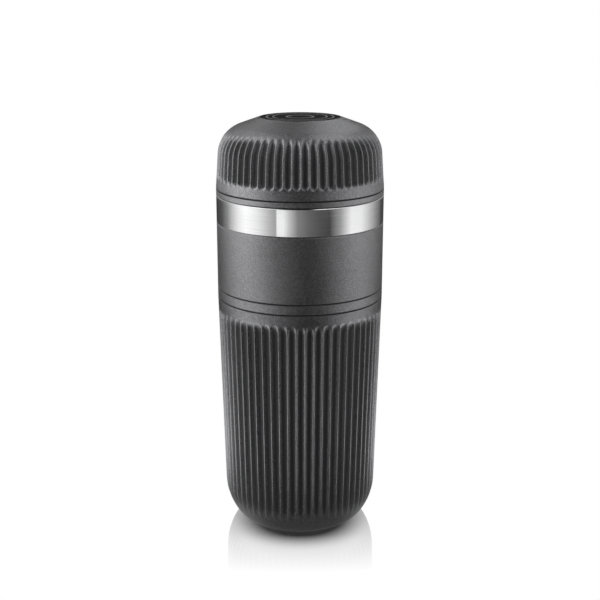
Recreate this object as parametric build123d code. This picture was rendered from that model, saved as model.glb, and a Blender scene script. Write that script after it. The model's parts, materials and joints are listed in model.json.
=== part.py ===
from build123d import *
import os
from math import asin, atan, cos, degrees, radians, sin, sqrt, tan

# A hand-pumped espresso maker that stands on its water tank. All sizes are in
# millimetres. The origin is the centre of the flat base, +Z is up, and the pump
# knob points along +Y. From the base up: water tank with its collar, pump body,
# adapter ring round a tall filter basket, outlet head, and the cap that is also
# the cup. It is turned over to brew, so the basket is stored bottom up.

# ---- driving dimensions -------------------------------------------------------

# Stack of the parts that show, each as a height.
outer_r = 31.0
tank_h = 89.5
collar_h = 3.8
body_h = 24.4
band_h = 10.15
flange_h = 2.35
cap_h = 25.8
edge_chamfer = 0.35          # broken outer edge at each parting line

# Fits that many pieces share.
fit_gap = 0.1                # between fixed pieces that fit into each other
slide_gap = 0.2              # radial gap between a spigot and its socket
press_gap = 0.02             # between pieces pressed together in the pump
bond_gap = 0.05              # glue line
bite = 0.5                   # how far joined shapes of one solid run into each other
past = 1.0                   # how far a cutter runs past the face that it cuts

# Water tank.
tank_wall = 2.4
tank_taper = 1.86            # loss of radius from the mouth to the round bottom
tank_round_z = 15.0          # height where the side turns into the round bottom
tank_round_r = 21.5
tank_heel_r = 8.0            # tighter arc that meets the flat base

# Cap.
cap_wall = 2.1
cap_taper = 0.068            # loss of radius for each millimetre of height
cap_shoulder_r = 11.6
cap_dome_slope = 0.36        # fall for each millimetre away from the disc
cap_ceiling_t = 1.4
disc_r = 14.75
disc_t = 1.2
disc_edge = 0.15

# Flutes, cut by a bar that runs down the wall.
flute_w = 1.2                # half width at the wall
flute_floor_w = 0.8          # half width of the floor
flute_d = 1.2
flute_lift = 28.0            # angle at which the bar lifts out at each end
flute_lead = 4.0
flute_bar_h = 1.0            # height of the bar outside the wall
tank_flutes = 60
tank_flute_phase = -0.6      # degrees from the front to the nearest flute
tank_flute_top = 84.8
tank_flute_foot = 8.7
tank_flute_bends = 2         # steps in which a flute goes round the bottom
cap_flutes = 62
cap_flute_phase = 2.78
cap_flute_foot_above = 3.2   # above the cap's lower edge
cap_flute_top_angle = 48.0   # end of the flute on the shoulder arc, in degrees
cap_flute_bends = 4

# Bayonet that joins tank, body, adapter and outlet head: one interface, used
# three times. Heights are measured down from the parting line.
socket_wall = 3.9
lug_reach = 1.7              # how far a lug stands out of its spigot
land_h = 2.2                 # sealing land above the ledges
ledge_t = 1.5
lug_t = 1.4
lug_count = 3
lug_arc = 40.0
entry_play = 10.0            # degrees between a free lug and the ledge beside it
bayonet_turn = 45.0          # from free to locked
stop_arc = 4.0
stop_play = 1.0              # degrees between a locked lug and its stop
bayonet_play = 0.1           # up and down play of a lug under its ledge
spigot_foot_gap = 0.3        # between a spigot's foot and the socket's floor
spigot_wall = 2.5

# O-rings.
seal_wire_r = 0.68
seal_gap = 0.08
seal_sides = 6
groove_from_edge = 0.35

# Screws.
screw_r = 1.0
screw_head_r = 1.9
screw_head_t = 1.0
screw_length = 6.0
screw_edge_gap = 0.3         # between a head and the wall beside it
screw_slot_w = 0.5
screw_slot_d = 0.5

# Pump body.
body_wall = 2.2
plug_flange_t = 1.5
shelf_t = 1.2
shelf_lip = 1.1              # shelf inside the pillars
pillar_r = 2.4
plate_t = 1.5
plate_edge_gap = 1.9         # between the group plate and the socket's wall
plate_boss_r = 4.0
plate_rim_w = 1.2

# Vent and strainer in the plug.
vent_x = 13.2
vent_y = 4.0
vent_stem_r = 1.3
vent_stem_l = 2.0            # below the plug
vent_cap_r = 3.2
vent_cap_t = 1.1
vent_lip_t = 0.4
strainer_r = 3.3
strainer_h = 3.2
strainer_wall = 0.6
strainer_edge = 0.3
strainer_edge_gap = 0.4      # between the strainer and the plug's spigot
strainer_slots = 8
strainer_slot_w = 0.8
strainer_slot_h = 1.6

# Pump, along the Y axis at pump_z.
pump_raise = 0.5             # above the middle of its space
bore_r = 3.9
cylinder_wall = 1.2
piston_gap = 1.0             # between the piston and the valve block
piston_t = 4.0
piston_land_t = 1.1
piston_groove_d = 1.0
piston_seal_gap = 0.05
gland_t = 2.0
gland_gap = 0.5              # between the piston and the gland at full stroke
rod_r = 2.0
rod_socket = 2.5             # how far the rod goes into the piston
rod_flange_w = 1.2
rod_flange_t = 1.2
run_gap = 0.08               # running clearance of rod, piston and knob
barrel_wall = 1.0
barrel_gap = 0.3
barrel_overlap = 0.8         # barrel past the cylinder's end, at rest
pump_lug_reach = 0.9
pump_lug_t = 1.8
pump_lug_arc = 24.0
pump_lug_gap = 0.4           # between a locked lug and the collar
pump_slot_play = 6.0         # degrees by which a slot is wider than its lug
pump_collar_wall = 0.8
pump_collar_depth = 1.6      # inside the body's wall
pump_collar_proud = 0.3
knob_gap = 0.6               # between the knob and the body
knob_r = 8.8
knob_t = 7.9
knob_web_t = 2.0
knob_back_edge = 0.4
knob_front_edge = 1.2
knob_scallops = 16
knob_scallop_r = 1.1
knob_scallop_out = 0.6       # centre of a scallop outside the knob
knob_inlay_r = 5.6
knob_inlay_t = 1.6
knob_inlay_sunk = 0.2
spring_wire = 0.7
spring_turns = 6
spring_end_gap = 0.1

# Cradle of the pump.
chassis_half = 9.0
chassis_base_t = 1.6
chassis_rib_t = 1.6
chassis_rib_drop = 1.0       # ribs below the pump axis
chassis_end_gap = 1.0
chassis_screw_x = 7.0
chassis_screw_l = 2.5
chassis_screw_head_r = 1.4
chassis_screw_head_t = 0.8

# Valve block with its two ball valves.
block_t = 7.0
block_half = 5.5
port_r = 1.2
stub_wall = 1.6
ball_r = 1.6
ball_travel = 1.0
ball_side_gap = 0.25
chamber_spare = 0.2
seat_t = 1.2
seat_bore_r = 0.96
seat_cone_r = 1.35
seat_cone_d = 0.45
seat_gap = 0.03
ball_sink = 0.55             # how far the ball sits down in its seat
outlet_seat_above = 0.4      # above the pump port
valve_wire = 0.25
valve_turns = 3

# Filter basket, group gasket and screens.
basket_bore_wall = 2.1       # wall of the spigot round the basket
bore_clear = 0.3             # basket to the bore around it
basket_wall = 0.5
basket_edge = 1.2
basket_rim_w = 1.1
basket_head_gap = 1.7        # between the basket's floor and the outlet screen
basket_hole_pitch = 5.4
basket_hole_edge = 3.5
gasket_t = 1.0
gasket_w = 2.1
screen_gap = 0.6             # between the shower screen and the gasket
screen_t = 0.5
screen_edge = 0.1
screen_lift = 0.6
screen_hole_r = 0.7
screen_hole_pitch = 5.2
screen_hole_edge = 3.0
screen_screw_r = 2.2
screen_screw_t = 0.9
screen_screw_edge = 0.2
outlet_hole_r = 0.6
outlet_hole_pitch = 5.6
outlet_hole_edge = 5.0

# Adapter.
adapter_wall = 1.6
sleeve_t = 0.55
sleeve_edge = 0.25

# Outlet head.
head_cap_gap = 0.9           # between the head and the cap's wall
head_top = 6.0               # above the flange
head_plate_t = 2.0
head_edge = 1.0
grip_above = 2.2             # middle of the cap's grip ring above the flange
grip_clear = 0.1             # between the grip ring and the cap
spout_r = 6.0
spout_h = 13.3
spout_hole_r = 2.6
spout_foot_r = 3.0
spout_draft = 0.8
spout_lip = 0.6
spout_cone_edge = 1.0        # between the funnel under the spout and its wall

# ---- levels and radii worked out from them ------------------------------------

collar_z = tank_h
body_z = collar_z + collar_h
band_z = body_z + body_h
flange_z = band_z + band_h
cap_z = flange_z + flange_h
top_z = cap_z + cap_h

socket_r = outer_r - socket_wall
land_r = socket_r - slide_gap
lug_r = land_r
spigot_r = lug_r - lug_reach
spigot_in_r = spigot_r - spigot_wall
ledge_r = spigot_r + slide_gap
ledge_arc = 360 / lug_count - lug_arc - 2 * entry_play
ledge_top = land_h + bayonet_play
ledge_foot = ledge_top + ledge_t
lug_top = ledge_foot + bayonet_play
spigot_h = lug_top + lug_t
socket_h = spigot_h + spigot_foot_gap
groove_d = 2 * (seal_wire_r + seal_gap)

body_in_r = outer_r - body_wall
plate_r = socket_r - plate_edge_gap
plate_z = band_z - socket_h - plate_t
plate_top = plate_z + plate_t
shelf_z = plate_z - shelf_t
floor_z = body_z + plug_flange_t
land_z = body_z - land_h     # underside of the plug inside its spigot
pillar_ring_r = spigot_in_r - screw_head_r - screw_edge_gap
shelf_r = pillar_ring_r - pillar_r - shelf_lip

pump_z = (floor_z + shelf_z) / 2 + pump_raise
stub_r = port_r + stub_wall
chamber_r = ball_r + ball_side_gap
chamber_h = 2 * ball_r + ball_travel + chamber_spare
inlet_seat_z = floor_z
outlet_seat_z = pump_z + port_r + outlet_seat_above
channel_y = strainer_r + strainer_edge_gap - spigot_in_r
block_front_y = channel_y + block_t / 2

cylinder_r = bore_r + cylinder_wall
barrel_in_r = cylinder_r + barrel_gap
barrel_r = barrel_in_r + barrel_wall
pump_lug_r = barrel_r + pump_lug_reach
pump_collar_in = barrel_r + barrel_gap
pump_slot_r = pump_lug_r + barrel_gap
pump_collar_r = pump_slot_r + pump_collar_wall
pump_collar_y = body_in_r - pump_collar_depth
knob_y = outer_r + knob_gap
face_y = knob_y + knob_t

# The stroke is half of what the body's width leaves: the barrel draws out of the
# body by as much as the piston needs inside it.
piston_back_y = block_front_y + piston_gap
piston_front_y = piston_back_y + piston_t
stroke = (pump_collar_y + barrel_overlap - gland_t - gland_gap - piston_front_y) / 2
gland_y = piston_front_y + stroke + gland_gap
cylinder_end_y = gland_y + gland_t
barrel_foot_y = cylinder_end_y - barrel_overlap

chassis_length = barrel_foot_y - chassis_end_gap - block_front_y
chassis_y = block_front_y + chassis_length / 2

basket_r = spigot_r - basket_bore_wall - bore_clear
basket_bore_r = basket_r + bore_clear
basket_rim_r = basket_r + basket_rim_w
basket_z = plate_top + gasket_t
head_z = cap_z + head_top
ceiling_z = head_z - head_plate_t
basket_top = ceiling_z - screen_t - basket_head_gap
gasket_in_r = basket_rim_r - gasket_w
screen_r = gasket_in_r - screen_gap

wall_lean = degrees(atan(tank_taper / (tank_h - tank_round_z)))
side_lean = degrees(atan(cap_taper))
dome_lean = degrees(atan(cap_dome_slope))

head_r = outer_r - cap_wall - head_cap_gap
grip_z = cap_z + grip_above
cap_in_r = outer_r - cap_wall / cos(radians(side_lean)) - cap_taper * grip_above
grip_r = cap_in_r - grip_clear - seal_wire_r
grip_groove_r = grip_r - seal_wire_r - seal_gap


# ---- basic shapes -------------------------------------------------------------

def turned(*outline):
    """Revolve a closed outline of (radius, height) points about Z."""
    following = outline[1:] + outline[:1]
    points = [point for point, after in zip(outline, following) if point != after]
    return revolve(Plane.XZ * make_face(Polyline(*points, close=True)), Axis.Z)


def ring(r_in, r_out, z_low, z_high, edge=0.0):
    """Ring, or a disc when r_in is 0, with its outer corners broken by edge."""
    if edge <= 0:
        return turned((r_in, z_low), (r_out, z_low), (r_out, z_high), (r_in, z_high))
    return turned(
        (r_in, z_low), (r_out - edge, z_low), (r_out, z_low + edge),
        (r_out, z_high - edge), (r_out - edge, z_high), (r_in, z_high),
    )


def sector(r_in, r_out, z_low, z_high, middle, width):
    """Piece of a ring that is centred on the angle middle."""
    outline = Polyline((r_in, z_low), (r_out, z_low), (r_out, z_high), (r_in, z_high), close=True)
    return Rot(0, 0, middle - width / 2) * revolve(Plane.XZ * make_face(outline), Axis.Z, width)


def post(x, y, radius, z_low, z_high):
    """Upright round bar."""
    foot = (Align.CENTER, Align.CENTER, Align.MIN)
    return Pos(x, y, z_low) * Cylinder(radius, z_high - z_low, align=foot)


def block(x_size, y_size, z_size, y_middle, z_low):
    """Box that stands on z_low, centred across the part."""
    foot = (Align.CENTER, Align.CENTER, Align.MIN)
    return Pos(0, y_middle, z_low) * Box(x_size, y_size, z_size, align=foot)


def along_pump(shape):
    """Lay a shape made about Z on the pump axis, its height becoming Y."""
    return Pos(0, 0, pump_z) * Rot(-90, 0, 0) * shape


def edge_cutter(z, toward):
    """Ring that takes off the outer corner at height z, upward when toward is 1."""
    return turned((outer_r - edge_chamfer, z), (outer_r + past, z),
                  (outer_r + past, z + toward * (past + edge_chamfer)))


def o_ring(middle_r, z):
    """Rubber ring whose round section is drawn with a few sides."""
    return revolve(Plane.XZ * Pos(middle_r, z) * RegularPolygon(seal_wire_r, seal_sides), Axis.Z)


def coil(middle_r, z_low, z_high, turns, wire):
    """Helical spring of square wire, standing on Z."""
    height = z_high - z_low - wire
    path = Pos(0, 0, z_low + wire / 2) * Helix(height / turns, height, middle_r)
    section = Plane(path @ 0, x_dir=(1, 0, 0), z_dir=path % 0) * Rectangle(wire, wire)
    return sweep(section, path=path, is_frenet=True)


def screw_slot(head_r, z_face):
    """Cutter for the slot in a screw's head, whose face is at z_face."""
    return Pos(0, 0, z_face) * Box(2 * head_r + past, screw_slot_w, 2 * screw_slot_d)


def hole_field(radius, pitch, hole_r, keep_out=0.0):
    """Six-sided holes in a hexagonal grid inside a circle, as sketches."""
    row_pitch = pitch * sqrt(3) / 2
    rows = int(radius / row_pitch)
    columns = int(radius / pitch) + 1
    spots = []
    for row in range(-rows, rows + 1):
        shift = pitch / 2 if row % 2 else 0.0
        for column in range(-columns, columns + 1):
            x, y = column * pitch + shift, row * row_pitch
            if keep_out <= sqrt(x * x + y * y) <= radius:
                spots.append((x, y))
    return [Pos(x, y) * RegularPolygon(hole_r, 6) for x, y in spots]


def perforated(disc, field, z_low, z_high):
    """Cut a field of small holes through a disc."""
    return disc - Pos(0, 0, z_low - past) * extrude(Sketch() + field, z_high - z_low + 2 * past)


# ---- bayonet ------------------------------------------------------------------

def lugs(z_part):
    """Lugs of a spigot that hangs below the parting line z_part."""
    z_high = z_part - lug_top
    step = 360 / lug_count
    return [sector(spigot_r - bite, lug_r, z_high - lug_t, z_high, i * step, lug_arc)
            for i in range(lug_count)]


def ledges(z_part):
    """Ledges and end stops of a socket below the parting line z_part."""
    step = 360 / lug_count
    outside, top = socket_r + bite, z_part - ledge_top
    first_stop = bayonet_turn + (lug_arc + stop_arc) / 2 + stop_play
    pieces = []
    for i in range(lug_count):
        pieces.append(sector(ledge_r, outside, z_part - ledge_foot, top,
                             (i + 0.5) * step, ledge_arc))
        pieces.append(sector(ledge_r, outside, z_part - spigot_h, top,
                             i * step + first_stop, stop_arc))
    return pieces


def spigot(z_part, r_in, foot_r_in, step_z):
    """Sealing land, groove and lugged spigot below the parting line z_part.

    Its bore is r_in, and foot_r_in below the height step_z."""
    groove_top = z_part - groove_from_edge
    groove_foot = groove_top - groove_d
    groove_r = socket_r - groove_d
    foot = z_part - spigot_h
    tube = turned(
        (r_in, z_part), (land_r, z_part), (land_r, groove_top), (groove_r, groove_top),
        (groove_r, groove_foot), (land_r, groove_foot), (land_r, z_part - land_h),
        (spigot_r, z_part - land_h), (spigot_r, foot), (foot_r_in, foot),
        (foot_r_in, step_z), (r_in, step_z),
    )
    return tube + lugs(z_part)


def plain_spigot(z_part, r_in):
    """Spigot with one bore all through."""
    return spigot(z_part, r_in, r_in, z_part - land_h)


def spigot_seal(z_part):
    """O-ring in the spigot's groove."""
    return o_ring(socket_r - groove_d / 2, z_part - groove_from_edge - groove_d / 2)


# ---- flutes -------------------------------------------------------------------

def arc_points(centre, radius, first, last, steps):
    """Points along an arc of (radius, height), with angles in degrees from level."""
    angles = [radians(first + (last - first) * i / steps) for i in range(steps + 1)]
    return [(centre[0] + radius * cos(a), centre[1] + radius * sin(a)) for a in angles]


def lifted_end(here, toward, side):
    """End of a straight lead that lifts the bar out of the wall beyond here."""
    length = sqrt((toward[0] - here[0]) ** 2 + (toward[1] - here[1]) ** 2)
    away = ((here[0] - toward[0]) / length, (here[1] - toward[1]) / length)
    out = (side * away[1], -side * away[0])
    c, s = cos(radians(flute_lift)), sin(radians(flute_lift))
    return (here[0] + flute_lead * (c * away[0] + s * out[0]),
            here[1] + flute_lead * (c * away[1] + s * out[1]))


def flute_bar(path):
    """Bar that cuts one flute, with a flat floor and leaning sides, down the path."""
    path = [lifted_end(path[0], path[1], 1)] + path + [lifted_end(path[-1], path[-2], -1)]
    points = [Vector(x, 0, z) for x, z in path]
    plane = Plane(points[0], x_dir=(0, 1, 0), z_dir=points[1] - points[0])
    outline = Polyline(
        (-flute_w, 0), (-flute_floor_w, -flute_d), (flute_floor_w, -flute_d), (flute_w, 0),
        (flute_w, flute_bar_h), (-flute_w, flute_bar_h), close=True)
    return sweep(plane * make_face(outline), path=Polyline(*points), transition=Transition.RIGHT)


def runout_length():
    """Length over which the bar climbs from full depth out of the wall."""
    return flute_d / tan(radians(flute_lift))


def flute_all_round(shell, cutter, count, phase):
    """Cut the same flute count times round the shell."""
    pitch = 360 / count
    return shell - [Rot(0, 0, phase - 90 + i * pitch) * cutter for i in range(count)]


# ---- water tank ---------------------------------------------------------------

def round_centre():
    """Centre of the arc that turns the tank's side into its bottom."""
    lean = radians(wall_lean)
    return (outer_r - tank_taper - tank_round_r * cos(lean),
            tank_round_z + tank_round_r * sin(lean))


def cup_face(inset):
    """Half section of the tank's outside, or of its hollow when inset is the wall."""
    lean = radians(wall_lean)
    big, heel = tank_round_r - inset, tank_heel_r - inset
    cx, cz = round_centre()
    heel_angle = asin((cz - tank_heel_r) / (big - heel))
    heel_x = cx + (big - heel) * cos(heel_angle)
    mid_big = (lean + heel_angle) / 2
    mid_heel = (heel_angle + radians(90)) / 2
    mouth = (outer_r - inset / cos(lean), tank_h)
    tangent = (cx + big * cos(lean), cz - big * sin(lean))
    meet = (cx + big * cos(heel_angle), cz - big * sin(heel_angle))
    return Plane.XZ * make_face(Wire([
        Line((0, tank_h), mouth),
        Line(mouth, tangent),
        ThreePointArc(tangent, (cx + big * cos(mid_big), cz - big * sin(mid_big)), meet),
        ThreePointArc(
            meet,
            (heel_x + heel * cos(mid_heel), tank_heel_r - heel * sin(mid_heel)),
            (heel_x, inset),
        ),
        Line((heel_x, inset), (0, inset)),
        Line((0, inset), (0, tank_h)),
    ]))


def tank_flute():
    """One flute bar: down the tapered wall and a little way round the bottom."""
    lean = radians(wall_lean)
    centre = round_centre()
    start_z = tank_flute_top - runout_length()
    wall_r = outer_r - (tank_h - start_z) * tan(lean)
    foot = degrees(asin((centre[1] - tank_flute_foot) / tank_round_r))
    full_depth = foot - degrees(runout_length() / tank_round_r)
    bottom = arc_points(centre, tank_round_r, -wall_lean, -full_depth, tank_flute_bends)
    return flute_bar([(wall_r, start_z)] + bottom)


def tank_shell():
    """Fluted tank with a smooth hollow."""
    shell = revolve(cup_face(0), Axis.Z) - revolve(cup_face(tank_wall), Axis.Z)
    shell = flute_all_round(shell, tank_flute(), tank_flutes, tank_flute_phase)
    return shell - edge_cutter(tank_h, -1)


def tank_collar():
    """Ring bonded into the tank's mouth, with the socket for the body's plug."""
    skirt_r = outer_r - tank_wall - fit_gap
    rim = ring(socket_r, outer_r, collar_z, body_z, edge_chamfer)
    skirt = ring(socket_r, skirt_r, body_z - socket_h - ledge_t, collar_z)
    return rim + skirt + ledges(body_z)


# ---- pump body ----------------------------------------------------------------

def pillar_spots():
    """Centres of the four pillars, at the corners of a square."""
    at = pillar_ring_r / sqrt(2)
    return [(x, y) for x in (-at, at) for y in (-at, at)]


def body_shell():
    """Plain band with the upper socket, the plate's shelf and four pillars."""
    tube = ring(body_in_r, outer_r, body_z, band_z, edge_chamfer)
    socket = ring(socket_r, outer_r - past, shelf_z, band_z)
    shelf = ring(shelf_r, body_in_r + bite, shelf_z, plate_z)
    pillars = [post(x, y, pillar_r, floor_z, plate_z) for x, y in pillar_spots()]
    shell = tube + socket + shelf + ledges(band_z) + pillars
    knob_hole = along_pump(post(0, 0, pump_collar_r + fit_gap, shelf_r - past, outer_r + past))
    screw_holes = [post(x, y, screw_r + fit_gap, floor_z - past, plate_z + past)
                   for x, y in pillar_spots()]
    port = post(0, channel_y, stub_r + fit_gap, shelf_z - past, plate_z + past)
    return shell - knob_hole - screw_holes - port


def tank_plug():
    """Plug that closes the body and locks into the tank."""
    low, high = body_z - spigot_h - past, floor_z + past
    flange = ring(0, body_in_r - fit_gap, body_z, floor_z)
    plate = ring(0, spigot_r, land_z, body_z)
    plug = flange + plate + plain_spigot(body_z, spigot_in_r)
    plug -= [post(x, y, screw_r + fit_gap, low, high) for x, y in pillar_spots()]
    plug -= post(0, channel_y, port_r, low, high)
    plug -= post(vent_x, vent_y, vent_stem_r + fit_gap, low, high)
    plug -= [post(x, y, screw_r + fit_gap, floor_z - chassis_screw_l - 3 * fit_gap, high)
             for x, y in chassis_screw_spots()]
    return plug - along_pump(post(0, 0, pump_collar_r + fit_gap, pump_collar_y - past, outer_r))


def plug_screws():
    """Four pan-head screws from below, up into the pillars."""
    screw = ring(0, screw_head_r, -screw_head_t, 0) + post(0, 0, screw_r, 0, screw_length)
    screw -= screw_slot(screw_head_r, -screw_head_t)
    return [Pos(x, y, land_z) * screw for x, y in pillar_spots()]


def vent_valve():
    """Rubber umbrella that lets air into the tank as it empties."""
    umbrella = turned((0, floor_z), (vent_cap_r, floor_z), (vent_cap_r, floor_z + vent_lip_t),
                      (vent_stem_r, floor_z + vent_cap_t), (0, floor_z + vent_cap_t))
    stem = post(0, 0, vent_stem_r, land_z - vent_stem_l / 2, floor_z)
    bulb = turned((0, land_z), (vent_stem_r + bite, land_z),
                  (vent_stem_r - bite, land_z - vent_stem_l), (0, land_z - vent_stem_l))
    return Pos(vent_x, vent_y, 0) * (umbrella + stem + bulb)


def inlet_strainer():
    """Small slotted cup under the inlet port."""
    cup = ring(0, strainer_r, land_z - strainer_h, land_z, strainer_edge)
    cup -= post(0, 0, strainer_r - strainer_wall, land_z - strainer_h + strainer_wall,
                land_z + past)
    slot = Pos(strainer_r, 0, land_z - strainer_h / 2) * Box(
        3 * strainer_wall, strainer_slot_w, strainer_slot_h)
    step = 360 / strainer_slots
    return Pos(0, channel_y, 0) * (cup - [Rot(0, 0, i * step) * slot
                                          for i in range(strainer_slots)])


# ---- pump cradle, cylinder and valves -------------------------------------------

def chassis_screw_spots():
    """Screws of the cradle, midway between its ribs."""
    return [(x, chassis_y + side * chassis_length / 6)
            for x in (-chassis_screw_x, chassis_screw_x) for side in (-1, 1)]


def pump_chassis():
    """Ribbed cradle that carries the pump cylinder, screwed to the plug."""
    rise = pump_z - floor_z
    cradle = block(2 * chassis_half, chassis_length, chassis_base_t, chassis_y, floor_z)
    cradle += block(2 * (cylinder_r - bite), chassis_length - 2 * chassis_rib_t, rise,
                    chassis_y, floor_z)
    cradle += [
        block(2 * (chassis_half - chassis_rib_t / 2), chassis_rib_t, rise - chassis_rib_drop,
              chassis_y + side * chassis_length / 3, floor_z)
        for side in (-1, 0, 1)
    ]
    cradle -= along_pump(post(0, 0, cylinder_r + press_gap, block_front_y - past,
                              barrel_foot_y + past))
    return cradle - [post(x, y, screw_r + fit_gap, floor_z - past, pump_z)
                     for x, y in chassis_screw_spots()]


def chassis_screws():
    """Short screws that hold the cradle down."""
    screw = ring(0, chassis_screw_head_r, chassis_base_t, chassis_base_t + chassis_screw_head_t)
    screw += post(0, 0, screw_r, -chassis_screw_l, chassis_base_t)
    return [Pos(x, y, floor_z) * screw for x, y in chassis_screw_spots()]


def pump_cylinder():
    """Cylinder with its gland, open to the valve block."""
    rod_hole = rod_r + run_gap
    return along_pump(turned(
        (bore_r, block_front_y), (cylinder_r, block_front_y), (cylinder_r, cylinder_end_y),
        (rod_hole, cylinder_end_y), (rod_hole, gland_y), (bore_r, gland_y),
    ))


def valve_block():
    """Block with an inlet chamber below and an outlet chamber above the pump port."""
    body = block(2 * block_half, block_t, shelf_z - floor_z, channel_y, floor_z)
    body += post(0, channel_y, stub_r, shelf_z, plate_z)
    body -= post(0, channel_y, port_r, floor_z - past, plate_z + past)
    body -= post(0, channel_y, chamber_r, floor_z - past, inlet_seat_z + seat_t + chamber_h)
    body -= post(0, channel_y, chamber_r, outlet_seat_z, outlet_seat_z + seat_t + chamber_h)
    return body - along_pump(post(0, 0, port_r, channel_y, block_front_y + past))


def valve_seat(z_low):
    """Ring with a coned seat that the ball closes."""
    seat = turned((seat_bore_r, 0), (chamber_r - seat_gap, 0), (chamber_r - seat_gap, seat_t),
                  (seat_cone_r, seat_t), (seat_bore_r, seat_t - seat_cone_d))
    return Pos(0, channel_y, z_low) * seat


def ball_height(z_seat):
    """Height of a ball's centre over its seat."""
    return z_seat + seat_t + ball_r - ball_sink


def valve_ball(z_seat):
    """Ball resting just above its seat's cone."""
    return Pos(0, channel_y, ball_height(z_seat)) * Sphere(ball_r)


def valve_spring(z_seat):
    """Light spring between the ball and the top of its chamber."""
    middle_r = chamber_r - valve_wire
    on_ball = sqrt(ball_r ** 2 - (middle_r - valve_wire / 2) ** 2)
    low = ball_height(z_seat) + on_ball + seat_gap
    high = z_seat + seat_t + chamber_h - seat_gap
    return Pos(0, channel_y, 0) * coil(middle_r, low, high, valve_turns, valve_wire)


# ---- group plate --------------------------------------------------------------

def group_plate():
    """Plate on the body's shelf that closes the pump space."""
    plate = ring(0, plate_r, plate_z, plate_top)
    plate += ring(0, plate_boss_r, plate_top, plate_top + screen_lift)
    plate += ring(screen_r - plate_rim_w, screen_r, plate_top, plate_top + screen_lift)
    plate -= post(0, channel_y, port_r, plate_z - past, plate_top + past)
    sink = turned((0, plate_top), (screw_head_r + fit_gap, plate_top),
                  (screw_r, plate_top - screw_head_t), (0, plate_top - screw_head_t))
    for x, y in pillar_spots():
        plate -= post(x, y, screw_r + fit_gap, plate_z - past, plate_top + past)
        plate -= Pos(x, y, 0) * sink
    return plate - post(0, 0, screw_r, plate_z - past, plate_top + past)


def group_screws():
    """Four countersunk screws through the plate into the pillars."""
    screw = turned((0, 0), (screw_head_r, 0), (screw_r, bond_gap - screw_head_t),
                   (screw_r, -screw_length), (0, -screw_length))
    screw -= screw_slot(screw_r, 0)
    return [Pos(x, y, plate_top) * screw for x, y in pillar_spots()]


def group_gasket():
    """Flat rubber ring under the basket's rim."""
    return ring(gasket_in_r, basket_rim_r, plate_top, plate_top + gasket_t)


def shower_screen():
    """Perforated disc that spreads the water."""
    low = plate_top + screen_lift
    high = low + screen_t
    field = hole_field(screen_r - screen_hole_edge, screen_hole_pitch, screen_hole_r,
                       screen_hole_edge)
    disc = perforated(ring(0, screen_r, low, high, screen_edge), field, low, high)
    return disc - post(0, 0, screw_r + fit_gap, low - past, high + past)


def screen_screw():
    """Centre screw of the shower screen."""
    z_head = plate_top + screen_lift + screen_t
    z_face = z_head + screen_screw_t
    screw = ring(0, screen_screw_r, z_head, z_face, screen_screw_edge)
    screw += post(0, 0, screw_r - press_gap, plate_z, z_head)
    return screw - screw_slot(screen_screw_r, z_face)


# ---- pump plunger and knob ----------------------------------------------------

def pump_collar():
    """Bush in the body wall with two slots that the knob's lugs pass."""
    outer_y = outer_r + pump_collar_proud
    bush = turned((pump_collar_in, pump_collar_y), (pump_collar_r, pump_collar_y),
                  (pump_collar_r, outer_y - pump_collar_proud),
                  (pump_collar_r - pump_collar_proud, outer_y), (pump_collar_in, outer_y))
    slots = [sector(pump_collar_in - bite, pump_slot_r, pump_collar_y - past, outer_y + past,
                    side, pump_lug_arc + pump_slot_play) for side in (0, 180)]
    return along_pump(bush - slots)


def piston_rod():
    """Rod with the flange that holds the knob."""
    low = piston_front_y - rod_socket
    flange_y = knob_y + knob_web_t + run_gap
    flange_r = rod_r + rod_flange_w
    return along_pump(turned(
        (0, low), (rod_r, low), (rod_r, flange_y), (flange_r, flange_y),
        (flange_r, flange_y + rod_flange_t), (0, flange_y + rod_flange_t),
    ))


def piston_head():
    """Piston with a groove for its seal and a socket for the rod."""
    full_r, groove_r = bore_r - run_gap, bore_r - piston_groove_d
    socket_floor = piston_front_y - rod_socket - bond_gap
    low, high = piston_back_y, piston_front_y
    return along_pump(turned(
        (0, low), (full_r, low), (full_r, low + piston_land_t), (groove_r, low + piston_land_t),
        (groove_r, high - piston_land_t), (full_r, high - piston_land_t), (full_r, high),
        (rod_r + press_gap, high), (rod_r + press_gap, socket_floor), (0, socket_floor),
    ))


def piston_seal():
    """Rubber ring in the piston's groove."""
    return along_pump(ring(
        bore_r - piston_groove_d + piston_seal_gap, bore_r - piston_seal_gap,
        piston_back_y + piston_land_t + piston_seal_gap,
        piston_front_y - piston_land_t - piston_seal_gap,
    ))


def return_spring():
    """Spring that pushes the knob out of the cylinder's gland."""
    low, high = cylinder_end_y + spring_end_gap, knob_y - spring_end_gap
    return along_pump(coil((rod_r + barrel_in_r) / 2, low, high, spring_turns, spring_wire))


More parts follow.
